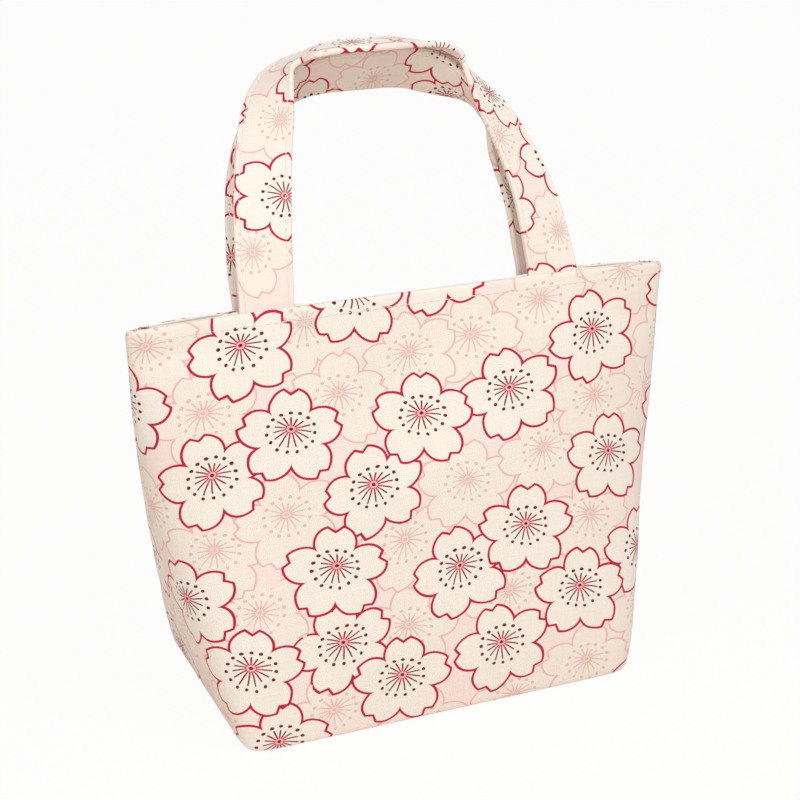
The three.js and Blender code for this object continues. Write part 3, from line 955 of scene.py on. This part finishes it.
def strap_line(side):
    """The strap's middle line and the way to its front edge, from one sewn end to the other."""
    place = STRAP_SPACING / MOUTH_WIDTH
    depth = CANVAS + CLEARANCE + STRAP_END_THICKNESS / 2
    end_share = np.linspace(1 - STRAP_END_LENGTH / BAG_HEIGHT, 1, SEWN_ROWS)
    sewn = wall_grid([place], end_share, depth, side)[0][:, 0]
    foot = np.array([sewn[-1, 0], sewn[-1, 1], strap_foot(side)])
    mirror = np.array([-1, 1, 1])
    scale = np.array([-foot[0], STRAP_LEAN[side], STRAP_RISE[side]])
    half = np.array([station for station, _ in STRAP_STATIONS[side]]) * scale + foot * np.array([0, 1, 1])
    ways = np.array([edge for _, edge in STRAP_STATIONS[side]], float)
    ways /= np.linalg.norm(ways, axis=1)[:, None]
    free = eased_curve(np.concatenate([half, half[-2::-1] * mirror]), FREE_ROWS)
    turn = eased_curve(np.concatenate([ways, ways[-2::-1] * mirror]), FREE_ROWS)
    left = sewn * mirror
    middle = np.concatenate([left[:-1], free, sewn[-2::-1]])
    first_way = np.tile([1.0, 0, 0], (len(sewn) - 1, 1))
    edge_way = np.concatenate([first_way, turn, -first_way])
    for _ in range(SMOOTHINGS):
        middle[1:-1] = middle[1:-1] * 0.5 + (middle[:-2] + middle[2:]) * 0.25
    length = np.concatenate([[0], np.cumsum(np.linalg.norm(np.diff(middle, axis=0), axis=1))])
    even = np.linspace(0, length[-1], STRAP_ROWS)
    middle = np.stack([np.interp(even, length, middle[:, k]) for k in range(3)], axis=1)
    edge_way = np.stack([np.interp(even, length, edge_way[:, k]) for k in range(3)], axis=1)
    ahead = np.gradient(middle, axis=0)
    ahead /= np.linalg.norm(ahead, axis=1)[:, None]
    edge_way -= (edge_way * ahead).sum(axis=1)[:, None] * ahead
    edge_way /= np.linalg.norm(edge_way, axis=1)[:, None]
    return middle, edge_way, np.cross(edge_way, ahead), even


STRAP_EDGE_FULL = 0.2
STRAP_EDGE_FROM = (8.5, 11.5)
STRAP_GROOVE = 0.35
STRAP_GROOVE_HALF_WIDTH = 0.6
half_face = [12.5, 11.8, 11.1, STRAP_SEAM, 9.5, 8.4, 6, 3]
strap_face = np.array([-a for a in half_face] + [0] + half_face[::-1])
from_seam = np.abs(strap_face) - STRAP_SEAM
strap_full = STRAP_HALF_THICKNESS + STRAP_EDGE_FULL * smooth_step(np.abs(strap_face), *STRAP_EDGE_FROM)
strap_full = strap_full - STRAP_GROOVE * np.exp(-((from_seam / STRAP_GROOVE_HALF_WIDTH) ** 2))
edge_across = np.array([12.85, 13, 13, 12.85])
edge_height = np.array([0.85, 0.35, -0.35, -0.85])
around_across = np.concatenate([strap_face, edge_across, strap_face[::-1], -edge_across])
around_height = np.concatenate([strap_full, edge_height, -strap_full[::-1], -edge_height])
outer_count = len(strap_face)
INNER_LAST = 2 * outer_count + 3
FACE_TO_FACE = 28
PRINT_END = 44
PRINT_START = -13
BAKE_LENGTHS = 3
BAKE_LENGTH_SHARE = 0.95
CAP_BAKE = 0.995
SEWN_THIN = 0.62
SEWN_THIN_BELOW = 3
SEWN_THIN_ABOVE = 4
EDGE_TURN = np.array([13.4, 13.8, 14.2, 14.6])


def strap_band(name, side):
    middle, edge_way, out_way, even = strap_line(side)
    rows = len(middle)
    count = len(around_across)
    rim_z = strap_foot(side)
    free_share = smooth_step(middle[:, 2], rim_z - SEWN_THIN_BELOW, rim_z + SEWN_THIN_ABOVE)
    sewn_flat = SEWN_THIN + (1 - SEWN_THIN) * free_share
    points = middle[:, None, :] + edge_way[:, None, :] * around_across[None, :, None]
    points = points + out_way[:, None, :] * (around_height[None, :] * sewn_flat[:, None])[:, :, None]
    ids = np.arange(rows * count).reshape(rows, count)
    following = np.roll(ids, -1, axis=1)
    faces = np.stack([ids[:-1], following[:-1], following[1:], ids[1:]], axis=2).reshape(-1, 4)
    cap = [(k, k + 1, INNER_LAST - k - 1, INNER_LAST - k) for k in range(outer_count - 1)]
    edge = outer_count
    cap += [(edge + k - 1, edge + k, edge + 4 - k, edge + 5 - k) for k in (0, 1)]
    cap += [(INNER_LAST + k, INNER_LAST + k + 1, count - 1 - k, (count - k) % count) for k in (0, 1)]
    cap = np.array(cap)
    faces = np.concatenate([faces, ids[0][cap], ids[-1][cap[:, ::-1]]])
    mesh = bpy.data.meshes.new(name)
    mesh.from_pydata((points.reshape(-1, 3) * MM).tolist(), [], faces.tolist())
    inner_turn = FACE_TO_FACE - strap_face[::-1]
    turn = np.concatenate([strap_face, EDGE_TURN, inner_turn, EDGE_TURN + FACE_TO_FACE])
    u_next = np.roll(turn, -1)
    u_next[-1] = PRINT_END
    v = even - STRAP_END_LENGTH
    corner_flat = np.zeros((rows - 1, count, 4, 2))
    corners = ((turn, v[:-1]), (u_next, v[:-1]), (u_next, v[1:]), (turn, v[1:]))
    for corner, (u_corner, v_corner) in enumerate(corners):
        corner_flat[:, :, corner, 0] = u_corner
        corner_flat[:, :, corner, 1] = v_corner[:, None]
    part = np.minimum(np.arange(rows - 1) * BAKE_LENGTHS // (rows - 1), BAKE_LENGTHS - 1)
    start = even[np.searchsorted(part, np.arange(BAKE_LENGTHS))]
    bake = np.zeros_like(corner_flat)
    along = corner_flat[:, :, :, 1] + STRAP_END_LENGTH - start[part][:, None, None]
    around = (corner_flat[:, :, :, 0] - PRINT_START) / (PRINT_END - PRINT_START)
    bake[:, :, :, 0] = BAKE_MARGIN + BAKE_LENGTH_SHARE * along / (even[-1] / BAKE_LENGTHS)
    bake[:, :, :, 1] = (BAKE_MARGIN + BAKE_WIDTH * around + part[:, None, None]) / BAKE_LENGTHS
    cap_flat = np.stack([turn[cap], np.zeros(cap.shape)], axis=2)
    far_cap_flat = cap_flat[:, ::-1] + np.array([0, v[-1]])
    cap_bake = np.full((2 * len(cap), 4, 2), CAP_BAKE)
    flat = np.concatenate([corner_flat.reshape(-1, 4, 2), cap_flat, far_cap_flat])
    lay_cloth(mesh, flat, np.concatenate([bake.reshape(-1, 4, 2), cap_bake]))
    return put_in_scene(name, mesh), flat, (middle, edge_way, out_way, even)


STRAP_BLOSSOM_BREADTH = 0.8
STRAP_RED_BLOSSOMS = {
    FRONT: [
        (7.4, 52.7, -90),
        (-32, 94, -90),
        (24, 112, -90),
        (-6, 153, -90),
        (16, 190, -76),
        (-6.5, 233, -76),
        (-21, 272, -90),
        (24, 291, -76),
        (3, 340, -90),
        (40, 75, -90),
        (36, 150, 90),
        (44, 215, 90),
        (40, 262, 90),
    ],
    BACK: [
        (10.3, 186, 84),
        (42, 201, 104),
        (50, 123, 84),
        (10, 108, 84),
        (-13.6, 27, -90),
        (8, 66, -90),
        (-20, 150, -90),
        (-18, 232, 90),
        (8, 262, 90),
        (34, 60, 90),
        (38, 262, 90),
    ],
}
STRAP_PALE_BLOSSOMS = {
    FRONT: [
        (-8, 27.5, -90),
        (4, 88.7, -90),
        (8, 130, -90),
        (-10, 180, -90),
        (4, 212, -90),
        (6, 256, -90),
        (-10, 307, -90),
        (28, 40, -90),
        (40, 112, 90),
        (36, 182, 90),
        (28, 240, 90),
        (40, 300, 90),
    ],
    BACK: [
        (36.6, 156, 90),
        (-4, 46, -90),
        (-8, 92, -90),
        (2, 140, -90),
        (-8, 196, 90),
        (-4, 248, 90),
        (40, 90, 90),
        (24, 30, 90),
        (30, 232, 90),
        (40, 290, 90),
    ],
}
for side, strap_name, body in (
    (FRONT, "front_strap", "front_carrying_strap"),
    (BACK, "back_strap", "back_carrying_strap"),
):
    strap, strap_flat, strap_frame = strap_band(strap_name + "_cloth", side)
    dress_in_print(
        strap,
        strap_flat,
        STRAP_RED_BLOSSOMS[side],
        STRAP_PALE_BLOSSOMS[side],
        breadth=STRAP_BLOSSOM_BREADTH,
    )
    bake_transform(strap)
    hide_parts(strap_name, strap_name + "_end_left", strap_name + "_end_right")
    middle, edge_way, out_way, even = strap_frame
    seams = []
    for edge in (-1, 1):
        for face in (-1, 1):
            proud = face * (STRAP_HALF_THICKNESS - STRAP_SEAM_SINK)
            strap_seam = middle + edge_way * edge * STRAP_SEAM + out_way * proud
            seams.append(strap_seam[STRAP_SEAM_TRIM:-STRAP_SEAM_TRIM])
    strap_stitches = stitch_rows(strap_name + "_stitches", seams)
    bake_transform(strap_stitches)

# Studio: a plain pale floor, one broad soft lamp overhead, a weaker one at the front and to the left,
# and even white light all round.
FLOOR_WHITE_SHARE = 0.95
FLOOR_CREAM = (0.9, 0.81, 0.74, 1)
FLOOR_HALF = 6
FLOOR_Z = -0.0006
AIR_CREAM = (1, 0.985, 0.965, 1)
AIR_STRENGTH = 0.52
WHITE = (1, 1, 1, 1)
floor_mesh = bpy.data.meshes.new("studio_floor")
floor_mesh.from_pydata(
    [
        (-FLOOR_HALF, -FLOOR_HALF, FLOOR_Z),
        (FLOOR_HALF, -FLOOR_HALF, FLOOR_Z),
        (FLOOR_HALF, FLOOR_HALF, FLOOR_Z),
        (-FLOOR_HALF, FLOOR_HALF, FLOOR_Z),
    ],
    [],
    [(0, 1, 2, 3)],
)
studio_floor = put_in_scene("studio_floor", floor_mesh)
pale_floor = bpy.data.materials.new("pale_floor")
pale_floor.use_nodes = True
floor_tree = pale_floor.node_tree
floor_shader = floor_tree.nodes["Principled BSDF"]
floor_shader.inputs["Base Color"].default_value = FLOOR_CREAM
floor_shader.inputs["Roughness"].default_value = 1
floor_shader.inputs["Specular IOR Level"].default_value = 0
floor_path = floor_tree.nodes.new("ShaderNodeLightPath")
floor_glow = floor_tree.nodes.new("ShaderNodeEmission")
floor_glow.inputs["Color"].default_value = WHITE
floor_glow.inputs["Strength"].default_value = 1
floor_mix = floor_tree.nodes.new("ShaderNodeMixShader")
floor_share = maths(floor_tree, "MULTIPLY", floor_path.outputs["Is Camera Ray"], FLOOR_WHITE_SHARE)
floor_tree.links.new(floor_share, floor_mix.inputs[0])
floor_tree.links.new(floor_shader.outputs[0], floor_mix.inputs[1])
floor_tree.links.new(floor_glow.outputs[0], floor_mix.inputs[2])
floor_tree.links.new(floor_mix.outputs[0], floor_tree.nodes["Material Output"].inputs["Surface"])
floor_mesh.materials.append(pale_floor)

studio_air = bpy.data.worlds.new("studio_air")
studio_air.use_nodes = True
air_tree = studio_air.node_tree
air_path = air_tree.nodes.new("ShaderNodeLightPath")
air_light = air_tree.nodes["Background"]
air_light.inputs["Color"].default_value = AIR_CREAM
air_light.inputs["Strength"].default_value = AIR_STRENGTH
air_white = air_tree.nodes.new("ShaderNodeBackground")
air_white.inputs["Color"].default_value = WHITE
air_mix = air_tree.nodes.new("ShaderNodeMixShader")
air_tree.links.new(air_path.outputs["Is Camera Ray"], air_mix.inputs[0])
air_tree.links.new(air_light.outputs[0], air_mix.inputs[1])
air_tree.links.new(air_white.outputs[0], air_mix.inputs[2])
air_tree.links.new(air_mix.outputs[0], air_tree.nodes["World Output"].inputs["Surface"])
bpy.context.scene.world = studio_air

LAMP_AIM = Vector((0, 0, 0.12))
for lamp_name, lamp_place, lamp_size, lamp_power in (
    ("overhead_lamp", (0.1, -0.5, 1.2), 0.9, 6),
    ("front_lamp", (-0.9, -1, 0.85), 0.8, 4.4),
):
    lamp_data = bpy.data.lights.new(lamp_name, "AREA")
    lamp_data.shape = "DISK"
    lamp_data.size = lamp_size
    lamp_data.energy = lamp_power
    lamp = put_in_scene(lamp_name, lamp_data)
    lamp.location = lamp_place
    lamp.rotation_euler = (LAMP_AIM - Vector(lamp_place)).to_track_quat("-Z", "Y").to_euler()

# Camera: to the left of the front and above it, a little rolled, at the photograph's distance. The lens
# and the shift are given in pixels of the photograph.
AZIMUTH = math.radians(24.7)
ELEVATION = math.radians(23.8)
ROLL = math.radians(1.6)
DISTANCE = 0.918
AIM = Vector((0, 0, 0.1344))
FOCAL_PIXELS = 1932
PHOTO_PIXELS = 800
SENSOR = 36
SHIFT_PIXELS = (-5, 8)
backward = Vector((
    -math.sin(AZIMUTH) * math.cos(ELEVATION),
    -math.cos(AZIMUTH) * math.cos(ELEVATION),
    math.sin(ELEVATION),
))
sideways = Vector((math.cos(AZIMUTH), -math.sin(AZIMUTH), 0))
upward = backward.cross(sideways)
rolled_side = sideways * math.cos(ROLL) + upward * math.sin(ROLL)
rolled_up = upward * math.cos(ROLL) - sideways * math.sin(ROLL)
camera_data = bpy.data.cameras.new("photo_camera")
camera_data.sensor_width = SENSOR
camera_data.lens = FOCAL_PIXELS / PHOTO_PIXELS * SENSOR
camera_data.shift_x = SHIFT_PIXELS[0] / PHOTO_PIXELS
camera_data.shift_y = SHIFT_PIXELS[1] / PHOTO_PIXELS
camera_data.clip_start = 0.05
camera = put_in_scene("photo_camera", camera_data)
camera.matrix_world = Matrix.Translation(AIM + backward * DISTANCE) @ Matrix((
    rolled_side,
    rolled_up,
    backward,
)).transposed().to_4x4()
bpy.context.scene.camera = camera
bpy.context.scene.view_settings.view_transform = "Standard"
